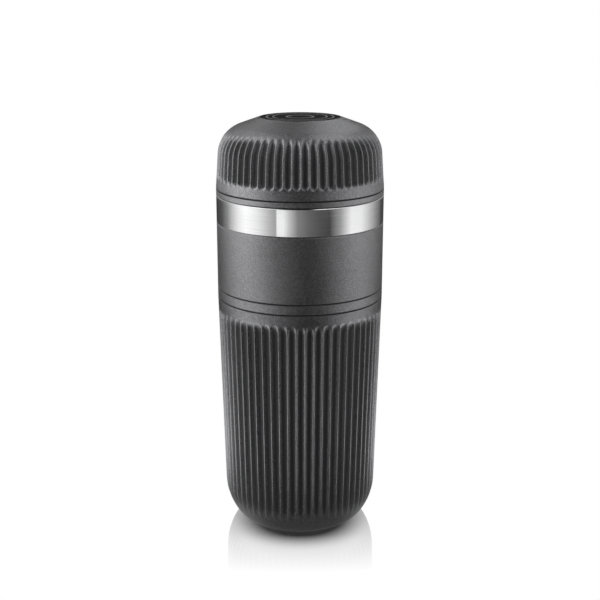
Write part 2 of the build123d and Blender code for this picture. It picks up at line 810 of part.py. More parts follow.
def pump_knob():
    """Round knob with a scalloped edge and a lugged barrel."""
    rod_hole = rod_r + run_gap
    pocket_r = rod_r + rod_flange_w + piston_seal_gap + barrel_gap
    inlay_r = knob_inlay_r + fit_gap
    inlay_y = face_y - knob_inlay_t
    web_y = knob_y + knob_web_t
    knob = turned(
        (rod_hole, knob_y), (barrel_in_r, knob_y), (barrel_in_r, barrel_foot_y),
        (barrel_r, barrel_foot_y), (barrel_r, knob_y), (knob_r - knob_back_edge, knob_y),
        (knob_r, knob_y + knob_back_edge), (knob_r, face_y - knob_front_edge),
        (knob_r - knob_front_edge, face_y), (inlay_r, face_y), (inlay_r, inlay_y),
        (pocket_r, inlay_y), (pocket_r, web_y), (rod_hole, web_y),
    )
    lug_high = pump_collar_y - pump_lug_gap
    knob += [sector(barrel_r - bite, pump_lug_r, lug_high - pump_lug_t, lug_high, side,
                    pump_lug_arc) for side in (0, 180)]
    step = 360 / knob_scallops
    scallop = post(knob_r + knob_scallop_out, 0, knob_scallop_r, knob_y - past, face_y + past)
    return along_pump(knob - [Rot(0, 0, i * step) * scallop for i in range(knob_scallops)])


def knob_inlay():
    """Disc that closes the knob's face."""
    return along_pump(ring(0, knob_inlay_r, face_y - knob_inlay_t, face_y - knob_inlay_sunk,
                           knob_inlay_sunk))


# ---- basket, adapter and outlet head ------------------------------------------

def filter_basket():
    """Thin steel basket, stored bottom up, with a perforated floor."""
    low, high = basket_z, basket_top
    in_r, floor_r = basket_r - basket_wall, basket_r - basket_edge
    basket = turned(
        (in_r, low), (basket_rim_r, low), (basket_rim_r, low + basket_wall),
        (basket_r, low + basket_wall), (basket_r, high - basket_edge), (floor_r, high),
        (0, high), (0, high - basket_wall), (floor_r - basket_wall / 2, high - basket_wall),
        (in_r, high - basket_edge - basket_wall / 2),
    )
    field = hole_field(in_r - basket_hole_edge, basket_hole_pitch, screen_hole_r)
    return perforated(basket, field, high - basket_wall, high)


def adapter_core():
    """Extension ring: lugged spigot below, socket above, cored between."""
    rim_top = basket_z + basket_wall + slide_gap
    floor_high = flange_z - socket_h
    floor_low = floor_high - adapter_wall
    outer = outer_r - sleeve_t - bond_gap
    joint_z = band_z - bond_gap
    core = spigot(band_z, basket_bore_r, basket_rim_r + slide_gap, rim_top)
    core += turned(
        (basket_bore_r, joint_z), (land_r, joint_z), (land_r, floor_low),
        (outer - adapter_wall, floor_low), (outer - adapter_wall, band_z), (outer, band_z),
        (outer, flange_z), (socket_r, flange_z), (socket_r, floor_high),
        (basket_bore_r, floor_high),
    )
    return core + ledges(flange_z)


def adapter_band():
    """Brushed steel sleeve round the adapter."""
    return ring(outer_r - sleeve_t, outer_r, band_z + bond_gap, flange_z - bond_gap, sleeve_edge)


def outlet_head():
    """Cover of the basket, with the flange that shows, the grip groove and the spout."""
    groove_low, groove_high = grip_z - groove_d / 2, grip_z + groove_d / 2
    spout_z = head_z + spout_h
    spout_top_r = spout_r - spout_draft
    fillet_r = spout_r + spout_foot_r
    bulge = spout_foot_r * (1 - sqrt(0.5))
    cover = revolve(Plane.XZ * make_face(
        Polyline(
            (spout_r, head_z + spout_foot_r), (spout_top_r, spout_z - spout_lip),
            (spout_top_r - spout_lip, spout_z), (spout_hole_r, spout_z),
            (spout_hole_r, head_z), (spout_r - spout_cone_edge, ceiling_z),
            (basket_bore_r, ceiling_z), (basket_bore_r, flange_z),
            (outer_r - edge_chamfer, flange_z), (outer_r, flange_z + edge_chamfer),
            (outer_r, cap_z - edge_chamfer), (outer_r - edge_chamfer, cap_z), (head_r, cap_z),
            (head_r, groove_low), (grip_groove_r, groove_low), (grip_groove_r, groove_high),
            (head_r, groove_high), (head_r, head_z - head_edge), (head_r - head_edge, head_z),
            (fillet_r, head_z),
        )
        + ThreePointArc((fillet_r, head_z), (spout_r + bulge, head_z + bulge),
                        (spout_r, head_z + spout_foot_r))
    ), Axis.Z)
    return plain_spigot(flange_z, basket_bore_r) + cover


def outlet_screen():
    """Fine screen under the head's ceiling."""
    low = ceiling_z - screen_t
    field = hole_field(basket_r - outlet_hole_edge, outlet_hole_pitch, outlet_hole_r)
    return perforated(ring(0, basket_r, low, ceiling_z), field, low, ceiling_z)


def cap_grip_ring():
    """Rubber ring on the head that holds the cap."""
    return o_ring(grip_r, grip_z)


# ---- cap ----------------------------------------------------------------------

def shoulder_centre():
    """Centre of the arc that joins the cap's side to its dome."""
    lean = radians(side_lean)
    corner_r = (outer_r - cap_taper * (cap_h + cap_dome_slope * disc_r)) / (
        1 - cap_taper * cap_dome_slope)
    corner_z = top_z - cap_dome_slope * (corner_r - disc_r)
    back = cap_shoulder_r * tan(radians(90 - side_lean - dome_lean) / 2)
    foot = (corner_r + back * sin(lean), corner_z - back * cos(lean))
    return (foot[0] - cap_shoulder_r * cos(lean), foot[1] - cap_shoulder_r * sin(lean))


def cap_face(inset, mouth_z, flat_z):
    """Half section of the cap, inset from its outside, from mouth_z up to flat_z."""
    cx, cz = shoulder_centre()
    radius = cap_shoulder_r - inset
    low, high = radians(side_lean), radians(90 - dome_lean)
    mid = (low + high) / 2
    foot = (cx + radius * cos(low), cz + radius * sin(low))
    dome = (cx + radius * cos(high), cz + radius * sin(high))
    mouth = (foot[0] + (foot[1] - mouth_z) * cap_taper, mouth_z)
    rim = (dome[0] - (flat_z - dome[1]) / cap_dome_slope, flat_z)
    return Plane.XZ * make_face(Wire([
        Line((0, mouth_z), mouth),
        Line(mouth, foot),
        ThreePointArc(foot, (cx + radius * cos(mid), cz + radius * sin(mid)), dome),
        Line(dome, rim),
        Line(rim, (0, flat_z)),
        Line((0, flat_z), (0, mouth_z)),
    ]))


def cap_flute():
    """One flute bar: from the shoulder down the cap's side."""
    start_angle = cap_flute_top_angle - degrees(runout_length() / cap_shoulder_r)
    shoulder = arc_points(shoulder_centre(), cap_shoulder_r, start_angle, side_lean,
                          cap_flute_bends)
    foot_z = cap_z + cap_flute_foot_above + runout_length()
    drop = shoulder[-1][1] - foot_z
    return flute_bar(shoulder + [(shoulder[-1][0] + drop * cap_taper, foot_z)])


def cap_shell():
    """Fluted cap, hollow, with the recess for its disc."""
    disc_z = top_z - disc_t
    shell = revolve(cap_face(0, cap_z, top_z), Axis.Z)
    shell -= revolve(cap_face(cap_wall, cap_z - past, disc_z - cap_ceiling_t), Axis.Z)
    shell -= ring(0, disc_r, disc_z, top_z + past)
    shell = flute_all_round(shell, cap_flute(), cap_flutes, cap_flute_phase)
    return shell - edge_cutter(cap_z, 1)


def cap_disc():
    """Glossy disc let into the top of the cap."""
    return ring(0, disc_r - fit_gap, top_z - disc_t, top_z, disc_edge)


# ---- all nodes ----------------------------------------------------------------

nodes = {
    "tank_shell": tank_shell(),
    "tank_collar": tank_collar(),
    "plug_o_ring": spigot_seal(body_z),
    "tank_plug": tank_plug(),
    "plug_screws": plug_screws(),
    "vent_valve": vent_valve(),
    "inlet_strainer": inlet_strainer(),
    "body_shell": body_shell(),
    "pump_chassis": pump_chassis(),
    "chassis_screws": chassis_screws(),
    "pump_cylinder": pump_cylinder(),
    "pump_collar": pump_collar(),
    "valve_block": valve_block(),
    "inlet_seat": valve_seat(inlet_seat_z),
    "outlet_seat": valve_seat(outlet_seat_z),
    "inlet_ball": valve_ball(inlet_seat_z),
    "outlet_ball": valve_ball(outlet_seat_z),
    "inlet_spring": valve_spring(inlet_seat_z),
    "outlet_spring": valve_spring(outlet_seat_z),
    "group_plate": group_plate(),
    "group_screws": group_screws(),
    "group_gasket": group_gasket(),
    "shower_screen": shower_screen(),
    "screen_screw": screen_screw(),
    "piston_rod": piston_rod(),
    "piston_head": piston_head(),
    "piston_seal": piston_seal(),
    "return_spring": return_spring(),
    "pump_knob": pump_knob(),
    "knob_inlay": knob_inlay(),
    "filter_basket": filter_basket(),
    "adapter_core": adapter_core(),
    "adapter_band": adapter_band(),
    "adapter_o_ring": spigot_seal(band_z),
    "outlet_head": outlet_head(),
    "outlet_screen": outlet_screen(),
    "head_o_ring": spigot_seal(flange_z),
    "cap_grip_ring": cap_grip_ring(),
    "cap_shell": cap_shell(),
    "cap_disc": cap_disc(),
}

os.makedirs("parts", exist_ok=True)
for name, shape in nodes.items():
    solid = Compound(children=shape) if isinstance(shape, list) else shape
    export_step(solid, f"parts/{name}.step")
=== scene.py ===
import json
from math import asin, cos, degrees, pi, radians, sin, sqrt, tan

import bmesh
import bpy
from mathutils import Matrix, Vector

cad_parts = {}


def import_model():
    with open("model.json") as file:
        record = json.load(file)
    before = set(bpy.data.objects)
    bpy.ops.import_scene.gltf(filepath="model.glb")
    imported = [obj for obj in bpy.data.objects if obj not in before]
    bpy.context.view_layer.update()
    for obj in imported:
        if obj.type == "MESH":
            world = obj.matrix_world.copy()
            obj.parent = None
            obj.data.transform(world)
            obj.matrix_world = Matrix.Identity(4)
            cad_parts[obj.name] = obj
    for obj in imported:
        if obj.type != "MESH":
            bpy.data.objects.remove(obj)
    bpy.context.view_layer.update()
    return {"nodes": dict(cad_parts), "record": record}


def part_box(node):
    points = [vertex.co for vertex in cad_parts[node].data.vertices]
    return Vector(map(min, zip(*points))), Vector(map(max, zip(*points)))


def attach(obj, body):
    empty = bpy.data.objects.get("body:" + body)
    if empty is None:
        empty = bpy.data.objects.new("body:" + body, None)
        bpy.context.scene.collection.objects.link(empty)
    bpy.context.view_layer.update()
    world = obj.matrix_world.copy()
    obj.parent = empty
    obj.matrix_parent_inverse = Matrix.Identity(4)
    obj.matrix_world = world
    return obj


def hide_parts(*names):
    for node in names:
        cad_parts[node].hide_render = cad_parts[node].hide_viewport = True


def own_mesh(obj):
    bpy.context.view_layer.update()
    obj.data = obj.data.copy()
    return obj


# A hand-pumped espresso maker: fluted tank, plain pump body, steel band, fluted cap.
# The object's sizes are in millimetres and are turned into metres by MM. Sizes in
# materials, the stage and the camera are in metres.

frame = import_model()
MM = 0.001


def low(node):
    """Lowest height of a CAD node, in millimetres."""
    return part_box(node)[0][2] / MM


def high(node):
    """Highest height of a CAD node, in millimetres."""
    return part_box(node)[1][2] / MM


def lean_of(slope):
    """Angle of a wall that moves aside by slope for each unit that it goes along."""
    return asin(slope / sqrt(1 + slope ** 2))


# ---- sizes --------------------------------------------------------------------

OUTER_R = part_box("body_shell")[1][0] / MM
TOP_Z = high("cap_disc")
CAP_Z = low("cap_shell")
TANK_Z = high("tank_shell")
DISC_Z = low("cap_disc")
EDGE = 0.35                  # rounded edge at each parting line
MOUTH_EDGE = (0.1, 0.3)      # broken edge inside a mouth: how far in and how deep

CAP_WALL = 2.1
CAP_TAPER = 0.068            # out by this much for each millimetre down the side
SHOULDER_R = 11.6
DOME_SLOPE = 0.36            # down by this much for each millimetre out from the disc
DISC_R = 14.75
RIM = 0.25                   # width of the broken edge round the disc
LIP_DROP = 0.2               # height of that edge
LIP_NORMAL = (-0.6, 0.8)
CEILING_LIFT = 0.7           # the wall is thinner by this much under the disc
CEILING_EDGE = (0.4, 0.1)    # half width and height of the ceiling's broken corner
CAP_SIDE = lean_of(CAP_TAPER)
DOME = lean_of(DOME_SLOPE)

TANK_WALL = 2.4
TANK_TAPER = 1.86            # how far the side has come in where the bottom's arc starts
ROUND_Z = 15.0
ROUND_R = 21.5
HEEL_R = 8.0
RIM_INSET = 0.01             # keeps the rim's edge inside the body's radius

FLUTE_D = 1.15               # depth of a flute's floor
RIDGE_SIDE = 1.22            # from the top of a ridge between flutes to a floor
RIDGE_MARKS = (0.0, 0.11, 0.23, 0.37, 0.54, 0.76, 1.04)
POINT_POWER = 1.7            # bluntness of a flute's pointed ends
PAINTED_SHADE_FROM, PAINTED_SHADE_OVER = 0.40, 0.5    # where a ridge's side starts to take painted shade
PAINTED_SHADE_FADE = 1.6            # how much sooner than its depth a flute's painted shade is full
CAP_TIP_END = (4.4, 6.5)     # at a flute's end: how long its point is, and over what
CAP_FOOT_END = (2.4, 2.8)    # length it gets shallow
TANK_TOP_END = (2.0, 5.0)
TANK_FOOT_END = (2.4, 9.0)
CAP_FLUTES = 62
CAP_PHASE = 3.5              # degrees from the front to a flute
CAP_FLUTE_FOOT = 2.9
CAP_FLUTE_ANGLE = 57.0
TANK_FLUTES = 60
TANK_PHASE = 0.6
TANK_FLUTE_TOP = 86.3
TANK_FLUTE_FOOT = 6.2
OFF_FLUTES = -9.0            # distance along an outline that is before every flute

# Rows of points are dense where flutes end: on the cap's side between two heights above
# its foot, and on the tank's side between two depths under its rim.
CAP_DENSE_FROM, CAP_DENSE_TO, CAP_DENSE = 6.8, 2.6, 0.28
TANK_DENSE_FROM, TANK_DENSE_TO, TANK_DENSE = 2.8, 8.8, 0.33

WELD = 2e-6                  # metres between corners of neighbouring wedges
SAME_CORNER = 1e-6           # metres between corners of a CAD node's triangles
FLUTED_SHARP = 38.0          # degrees from which an edge stays sharp
COPY_SHARP = 24.0
DISC_SHARP = 8.0

VALVE_SPRINGS = {"inlet_spring": "inlet_open", "outlet_spring": "outlet_open"}


# ---- outlines of the two fluted shells ------------------------------------------

def arc(centre, radius, first, last, steps):
    """Points with outward normals along an arc, angles in degrees from level."""
    rows = []
    for i in range(steps + 1):
        a = radians(first + (last - first) * i / steps)
        rows.append((centre[0] + radius * cos(a), centre[1] + radius * sin(a), cos(a), sin(a)))
    return rows


def line(start, end, normal, spacing):
    """Points with one normal along a straight wall, the ends left out."""
    length = sqrt((end[0] - start[0]) ** 2 + (end[1] - start[1]) ** 2)
    steps = max(1, round(length / spacing))
    rows = []
    for i in range(1, steps):
        t = i / steps
        rows.append((start[0] + (end[0] - start[0]) * t, start[1] + (end[1] - start[1]) * t,
                     normal[0], normal[1]))
    return rows


def with_distance(rows):
    """Add to each point its distance along the outline."""
    result, distance = [], 0.0
    for i, row in enumerate(rows):
        if i:
            distance += sqrt((row[0] - rows[i - 1][0]) ** 2 + (row[1] - rows[i - 1][1]) ** 2)
        result.append((*row, distance))
    return result


def plain(points):
    """Rows without flutes from points (radius, height)."""
    return [(r, z, 0.0, 0.0, OFF_FLUTES) for r, z in points]


def distance_at(rows, z):
    """Distance along the outline where it passes the height z."""
    for a, b in zip(rows, rows[1:]):
        if (a[1] - z) * (b[1] - z) <= 0 and a[1] != b[1]:
            return a[4] + (b[4] - a[4]) * (a[1] - z) / (a[1] - b[1])
    raise ValueError("the outline does not pass that height")


def cap_outside():
    """Cap from the disc's edge over the shoulder and down to the lower edge."""
    height = TOP_Z - CAP_Z
    corner_r = (OUTER_R - CAP_TAPER * (height + DOME_SLOPE * DISC_R)) / (1 - CAP_TAPER * DOME_SLOPE)
    corner_z = TOP_Z - DOME_SLOPE * (corner_r - DISC_R)
    back = SHOULDER_R * tan((pi / 2 - CAP_SIDE - DOME) / 2)
    foot = (corner_r + back * sin(CAP_SIDE), corner_z - back * cos(CAP_SIDE))
    centre = (foot[0] - SHOULDER_R * cos(CAP_SIDE), foot[1] - SHOULDER_R * sin(CAP_SIDE))
    shoulder = arc(centre, SHOULDER_R, 90 - degrees(DOME), degrees(CAP_SIDE), steps=34)
    lip = (DISC_R, TOP_Z - LIP_DROP, *LIP_NORMAL)
    rim = (DISC_R + RIM, TOP_Z - RIM * DOME_SLOPE, sin(DOME), cos(DOME))
    edge = arc((OUTER_R - EDGE, CAP_Z + EDGE), EDGE, degrees(CAP_SIDE), -80, steps=4)
    aside = (cos(CAP_SIDE), sin(CAP_SIDE))

    def wall(above):
        return (OUTER_R - CAP_TAPER * above, CAP_Z + above)

    rows = [lip, rim] + line(rim[:2], shoulder[0][:2], rim[2:], spacing=2.0) + shoulder
    rows += line(shoulder[-1][:2], wall(CAP_DENSE_FROM), aside, spacing=1.6)
    rows += line(wall(CAP_DENSE_FROM), wall(CAP_DENSE_TO), aside, CAP_DENSE)
    rows += line(wall(CAP_DENSE_TO), edge[0][:2], aside, spacing=0.9) + edge
    return with_distance(rows), centre


def cap_inside(centre):
    """Inside of the cap, from its mouth up to the axis."""
    shoulder = arc(centre, SHOULDER_R - CAP_WALL, degrees(CAP_SIDE), 90 - degrees(DOME),
                   steps=10)
    mouth_r = shoulder[0][0] + (shoulder[0][1] - CAP_Z) * CAP_TAPER
    ceiling = DISC_Z - CAP_WALL + CEILING_LIFT
    rim_r = shoulder[-1][0] - (ceiling - shoulder[-1][1]) / DOME_SLOPE
    points = [(mouth_r, CAP_Z), (mouth_r - MOUTH_EDGE[0], CAP_Z + MOUTH_EDGE[1])]
    points += [row[:2] for row in shoulder]
    aside, under = CEILING_EDGE
    return points + [(rim_r + aside, ceiling - under), (rim_r - aside, ceiling),
                     (rim_r * 0.5, ceiling)]


def tank_arcs():
    """Centre of the arc round the tank's bottom, the lean of its side, the centre of the
    heel's arc, and the angle at which the heel takes over."""
    lean = asin(TANK_TAPER / sqrt(TANK_TAPER ** 2 + (TANK_Z - ROUND_Z) ** 2))
    centre = (OUTER_R - TANK_TAPER - ROUND_R * cos(lean), ROUND_Z + ROUND_R * sin(lean))
    heel_angle = asin((centre[1] - HEEL_R) / (ROUND_R - HEEL_R))
    heel_x = centre[0] + (ROUND_R - HEEL_R) * cos(heel_angle)
    return centre, lean, (heel_x, HEEL_R), heel_angle


def tank_outside():
    """Tank from its mouth down the side and round to the flat base."""
    centre, lean, heel_centre, heel_angle = tank_arcs()
    bottom = arc(centre, ROUND_R, -degrees(lean), -degrees(heel_angle), steps=26)
    heel = arc(heel_centre, HEEL_R, -degrees(heel_angle), -90, steps=8)[1:]
    edge = arc((OUTER_R - EDGE - RIM_INSET, TANK_Z - EDGE), EDGE, 80, -degrees(lean), steps=4)
    aside = (cos(lean), -sin(lean))

    def wall(under):
        z = TANK_Z - under
        return (OUTER_R - (TANK_Z - z) * tan(lean), z)

    rows = edge + line(edge[-1][:2], wall(TANK_DENSE_FROM), aside, spacing=1.2)
    rows += line(wall(TANK_DENSE_FROM), wall(TANK_DENSE_TO), aside, TANK_DENSE)
    rows += line(wall(TANK_DENSE_TO), bottom[0][:2], aside, spacing=4.0) + bottom + heel
    return with_distance(rows)


def tank_inside():
    """Hollow of the tank, from the middle of its floor up to the mouth."""
    centre, lean, heel_centre, heel_angle = tank_arcs()
    rows = arc(heel_centre, HEEL_R - TANK_WALL, -90, -degrees(heel_angle), steps=6)
    rows += arc(centre, ROUND_R - TANK_WALL, -degrees(heel_angle), -degrees(lean), steps=8)[1:]
    mouth = OUTER_R - TANK_WALL / cos(lean)
    return [row[:2] for row in rows] + [(mouth - MOUTH_EDGE[0], TANK_Z - MOUTH_EDGE[1]),
                                        (mouth, TANK_Z)]


# ---- one flute's wedge, and the tree that repeats it ----------------------------

def between(value):
    """The value, kept between 0 and 1."""
    return max(0.0, min(1.0, value))


def smooth(value):
    """Soft step from 0 to 1."""
    t = between(value)
    return t * t * (3 - 2 * t)


def flute_at(across, along, half, ends):
    """Depth of a flute, and how much painted shade darkens it from 0 to 1, at a distance across
    from its middle and along the outline.

    A flute is a slot with pointed ends, and a round ridge stands between two flutes. Each
    of its two ends is (place along the outline, length of the point, length of the fade)."""
    (first, first_point, first_fade), (last, last_point, last_fade) = ends
    beyond, fade = 0.0, 1.0
    for inward, point, fading in ((along - first, first_point, first_fade),
                                  (last - along, last_point, last_fade)):
        beyond = max(beyond, 1 - inward / point)
        fade *= smooth(inward / fading)
    reach = abs(across / half) ** POINT_POWER + beyond ** POINT_POWER
    off_ridge = half * (1 - reach ** (1 / POINT_POWER))
    if off_ridge <= 0:
        return 0.0, 0.0
    side = off_ridge / RIDGE_SIDE
    painted_shade = between((side - PAINTED_SHADE_FROM) / PAINTED_SHADE_OVER) * min(1.0, PAINTED_SHADE_FADE * fade)
    return FLUTE_D * smooth(side) * fade, painted_shade


def wedge_columns(radius, count):
    """Distances across one pitch, dense at the ridges."""
    half = pi * radius / count
    marks = [half - m for m in RIDGE_MARKS] + [(half - RIDGE_MARKS[-1]) / 2]
    return [-m for m in marks] + [0.0] + list(reversed(marks))


def mesh_data(name, mesh):
    """Mesh data with what was built in a bmesh."""
    data = bpy.data.meshes.new(name)
    mesh.to_mesh(data)
    mesh.free()
    return data


def set_corners(data, name, values):
    """Give each corner of a mesh its value, as a named attribute."""
    data.attributes.new(name, "FLOAT", "POINT").data.foreach_set("value", values)


def fluted_wedge(name, rows, count, ends, pole_z):
    """Mesh of one pitch of a fluted shell from pole to pole, from rows of (radius, height,
    normal, distance along), and the heights of the poles that close it."""
    mesh = bmesh.new()
    rings, painted_shades = [], []
    for r, z, nr, nz, along in rows:
        ring = []
        for across in wedge_columns(r, count):
            depth, painted_shade = flute_at(across, along, pi * r / count, ends)
            painted_shades.append(painted_shade)
            angle = across / r
            radius, height = r - depth * nr, z - depth * nz
            ring.append(mesh.verts.new((radius * cos(angle) * MM, radius * sin(angle) * MM,
                                        height * MM)))
        rings.append(ring)
    for upper, lower in zip(rings, rings[1:]):
        for i in range(len(upper) - 1):
            mesh.faces.new((upper[i], lower[i], lower[i + 1], upper[i + 1]))
    for ring, z, flip in ((rings[0], pole_z[0], False), (rings[-1], pole_z[1], True)):
        pole = mesh.verts.new((0, 0, z * MM))
        painted_shades.append(0.0)
        for a, b in zip(ring, ring[1:]):
            mesh.faces.new((a, pole, b) if flip else (pole, a, b))
    bmesh.ops.recalc_face_normals(mesh, faces=mesh.faces)
    data = mesh_data(name, mesh)
    # Each corner keeps how much painted shade darkens it in the flutes.
    set_corners(data, "painted_shade", painted_shades)
    return data


def math(tree, operation, *values):
    """Math node whose inputs are sockets or plain numbers. Returns its output."""
    node = tree.nodes.new("ShaderNodeMath")
    node.operation = operation
    for i, value in enumerate(values):
        if isinstance(value, (int, float)):
            node.inputs[i].default_value = value
        else:
            tree.links.new(value, node.inputs[i])
    return node.outputs[0]


def wheel_tree():
    """Geometry Nodes: repeat a wedge all the way round and join it up."""
    tree = bpy.data.node_groups.new("wedges_all_round", "GeometryNodeTree")
    for label, way, kind in (("Wedge", "INPUT", "Geometry"), ("Count", "INPUT", "Int"),
                             ("First Turn", "INPUT", "Float"), ("Finish", "INPUT", "Material"),
                             ("Shell", "OUTPUT", "Geometry")):
        tree.interface.new_socket(label, in_out=way, socket_type="NodeSocket" + kind)
    node, join = tree.nodes.new, tree.links.new
    given, made = node("NodeGroupInput"), node("NodeGroupOutput")
    points = node("GeometryNodeMeshLine")
    points.mode = "OFFSET"
    points.inputs["Offset"].default_value = (0, 0, 0)
    pitch = math(tree, "DIVIDE", 2 * pi, given.outputs["Count"])
    turn = math(tree, "MULTIPLY_ADD", node("GeometryNodeInputIndex").outputs[0], pitch,
                given.outputs["First Turn"])
    spin = node("ShaderNodeCombineXYZ")
    copies = node("GeometryNodeInstanceOnPoints")
    real = node("GeometryNodeRealizeInstances")
    weld = node("GeometryNodeMergeByDistance")
    weld.inputs["Distance"].default_value = WELD
    paint = node("GeometryNodeSetMaterial")
    join(given.outputs["Count"], points.inputs["Count"])
    join(turn, spin.inputs["Z"])
    join(points.outputs[0], copies.inputs["Points"])
    join(given.outputs["Wedge"], copies.inputs["Instance"])
    join(spin.outputs[0], copies.inputs["Rotation"])
    join(copies.outputs[0], real.inputs[0])
    join(real.outputs[0], weld.inputs["Geometry"])
    join(weld.outputs[0], paint.inputs["Geometry"])
    join(given.outputs["Finish"], paint.inputs["Material"])
    join(paint.outputs[0], made.inputs[0])
    return tree


def set_input(modifier, name, value):
    """Set a named input of a Geometry Nodes modifier by its identifier."""
    for item in modifier.node_group.interface.items_tree:
        if item.item_type == "SOCKET" and item.in_out == "INPUT" and item.name == name:
            modifier[item.identifier] = value


def in_scene(name, data):
    """Object for a mesh, a lamp or a camera, put in the scene."""
    made = bpy.data.objects.new(name, data)
    bpy.context.scene.collection.objects.link(made)
    return made


def as_piece(name, data, finish, sharp):
    """Piece made from a mesh, with its finish, shaded smooth up to the sharp angle."""
    data.name = name
    data.materials.clear()
    data.materials.append(finish)
    data.shade_smooth()
    data.set_sharp_from_angle(angle=radians(sharp))
    return in_scene(name, data)


def all_round(name, wedge, tree, count, phase, finish):
    """Whole shell from one wedge, as a plain mesh."""
    source = in_scene(name + "_wedge", wedge)
    modifier = source.modifiers.new("all round", "NODES")
    modifier.node_group = tree
    set_input(modifier, "Count", count)
    set_input(modifier, "First Turn", radians(phase - 90))
    set_input(modifier, "Finish", finish)
    graph = bpy.context.evaluated_depsgraph_get()
    data = bpy.data.meshes.new_from_object(source.evaluated_get(graph))
    source.modifiers.clear()
    bpy.data.objects.remove(source)
    return as_piece(name, data, finish, FLUTED_SHARP)


# ---- effects shared by the materials --------------------------------------------

NOISE = (0.3, 0.7)           # most of a noise's values are between these


def group(name, inputs, outputs):
    """New shader node group of float sockets. Returns tree, input and output nodes."""
    tree = bpy.data.node_groups.new(name, "ShaderNodeTree")
    for label, value in inputs.items():
        socket = tree.interface.new_socket(label, in_out="INPUT", socket_type="NodeSocketFloat")
        socket.default_value = value
    for label in outputs:
        tree.interface.new_socket(label, in_out="OUTPUT", socket_type="NodeSocketFloat")
    return tree, tree.nodes.new("NodeGroupInput"), tree.nodes.new("NodeGroupOutput")


def noise(tree, place, scale, detail=2.0, roughness=0.5):
    """Noise texture at a place. Returns its value."""
    node = tree.nodes.new("ShaderNodeTexNoise")
    node.inputs["Detail"].default_value = detail
    node.inputs["Roughness"].default_value = roughness
    tree.links.new(place, node.inputs["Vector"])
    if isinstance(scale, (int, float)):
        node.inputs["Scale"].default_value = scale
    else:
        tree.links.new(scale, node.inputs["Scale"])
    return node.outputs[0]


def hypotenuse(tree, one, other):
    """Length of the slanting side. Returns its value."""
    return math(tree, "SQRT", math(tree, "ADD", math(tree, "MULTIPLY", one, one),
                                   math(tree, "MULTIPLY", other, other)))


def spread(tree, value, from_low, from_high, to_low, to_high, kind="LINEAR"):
    """Map a value from one range to another."""
    node = tree.nodes.new("ShaderNodeMapRange")
    node.interpolation_type = kind
    for i, item in enumerate((value, from_low, from_high, to_low, to_high)):
        if isinstance(item, (int, float)):
            node.inputs[i].default_value = item
        else:
            tree.links.new(item, node.inputs[i])
    return node.outputs[0]


def mix(tree, factor, first, second):
    """Mix two colours. Returns the colour."""
    node = tree.nodes.new("ShaderNodeMix")
    node.data_type = "RGBA"
    for socket, value in ((node.inputs[0], factor), (node.inputs[6], first),
                          (node.inputs[7], second)):
        if isinstance(value, tuple):
            socket.default_value = value
        else:
            tree.links.new(value, socket)
    return node.outputs[2]


def xyz(tree, vector):
    """The three parts of a vector."""
    parts = tree.nodes.new("ShaderNodeSeparateXYZ")
    tree.links.new(vector, parts.inputs[0])
    return parts.outputs


def object_place(tree):
    """Place on the object, which is the same as in the CAD frame."""
    return tree.nodes.new("ShaderNodeTexCoord").outputs["Object"]


def corner_value(tree, name):
    """Value of a mesh's named attribute."""
    attribute = tree.nodes.new("ShaderNodeAttribute")
    attribute.attribute_name = name
    return attribute.outputs["Fac"]


def grain_group():
    """Fine moulded grain: a speckle mask, a height and a slow cloud."""
    tree, given, made = group("moulded_grain", {"Scale": 2600.0, "Cloud Scale": 60.0},
                              ("Speckle", "Height", "Cloud"))
    place = object_place(tree)
    fine = noise(tree, place, given.outputs["Scale"], detail=3.0, roughness=0.6)
    cloud = noise(tree, place, given.outputs["Cloud Scale"])
    tree.links.new(spread(tree, fine, 0.42, 0.62, 0.0, 1.0), made.inputs["Speckle"])
    tree.links.new(fine, made.inputs["Height"])
    tree.links.new(cloud, made.inputs["Cloud"])
    return tree


def wear_and_highlight_group():
    """Edges lightened as wear and as a painted highlight on ridges: where the surface is convex,
    broken up by noise.
    """
    tree, given, made = group("rubbed_and_lit_edges", {"Amount": 1.0, "Low": 0.505, "High": 0.56},
                              ("Mask",))
    point = tree.nodes.new("ShaderNodeNewGeometry").outputs["Pointiness"]
    edge = spread(tree, point, given.outputs["Low"], given.outputs["High"], 0.0, 1.0)
    broken = spread(tree, noise(tree, object_place(tree), 900.0), *NOISE, 0.55, 1.0)
    mask = math(tree, "MULTIPLY", math(tree, "MULTIPLY", edge, broken), given.outputs["Amount"])
    tree.links.new(mask, made.inputs["Mask"])
    return tree


def brushed_group():
    """Fine lines brushed round the axis: streaks and a height."""
    tree, given, made = group("brushed_round", {"Lines": 9000.0, "Along": 45.0},
                              ("Streak", "Height"))
    joined = tree.nodes.new("ShaderNodeCombineXYZ")
    for part, socket, scale in zip(xyz(tree, object_place(tree)), joined.inputs,
                                   ("Along", "Along", "Lines")):
        tree.links.new(math(tree, "MULTIPLY", part, given.outputs[scale]), socket)
    fine = noise(tree, joined.outputs[0], 1.0, roughness=0.6)
    tree.links.new(spread(tree, fine, *NOISE, 0.0, 1.0), made.inputs["Streak"])
    tree.links.new(fine, made.inputs["Height"])
    return tree


def near(tree, value, middle, half_width):
    """1 where a value is within half a width of the middle."""
    away = math(tree, "ABSOLUTE", math(tree, "SUBTRACT", value, middle))
    return math(tree, "LESS_THAN", away, half_width)


def seam_shade_group(heights):
    """1 on the broken edges at the parting lines, by height above the ground: painted shade in
    the crease between parts.
    """
    tree, given, made = group("parting_line_shade", {"Half Width": 0.00033}, ("Mask",))
    up = xyz(tree, object_place(tree))[2]
    mask = near(tree, up, heights[0], given.outputs["Half Width"])
    for height in heights[1:]:
        mask = math(tree, "MAXIMUM", mask, near(tree, up, height, given.outputs["Half Width"]))
    tree.links.new(mask, made.inputs["Mask"])
    return tree


GRAIN = grain_group()
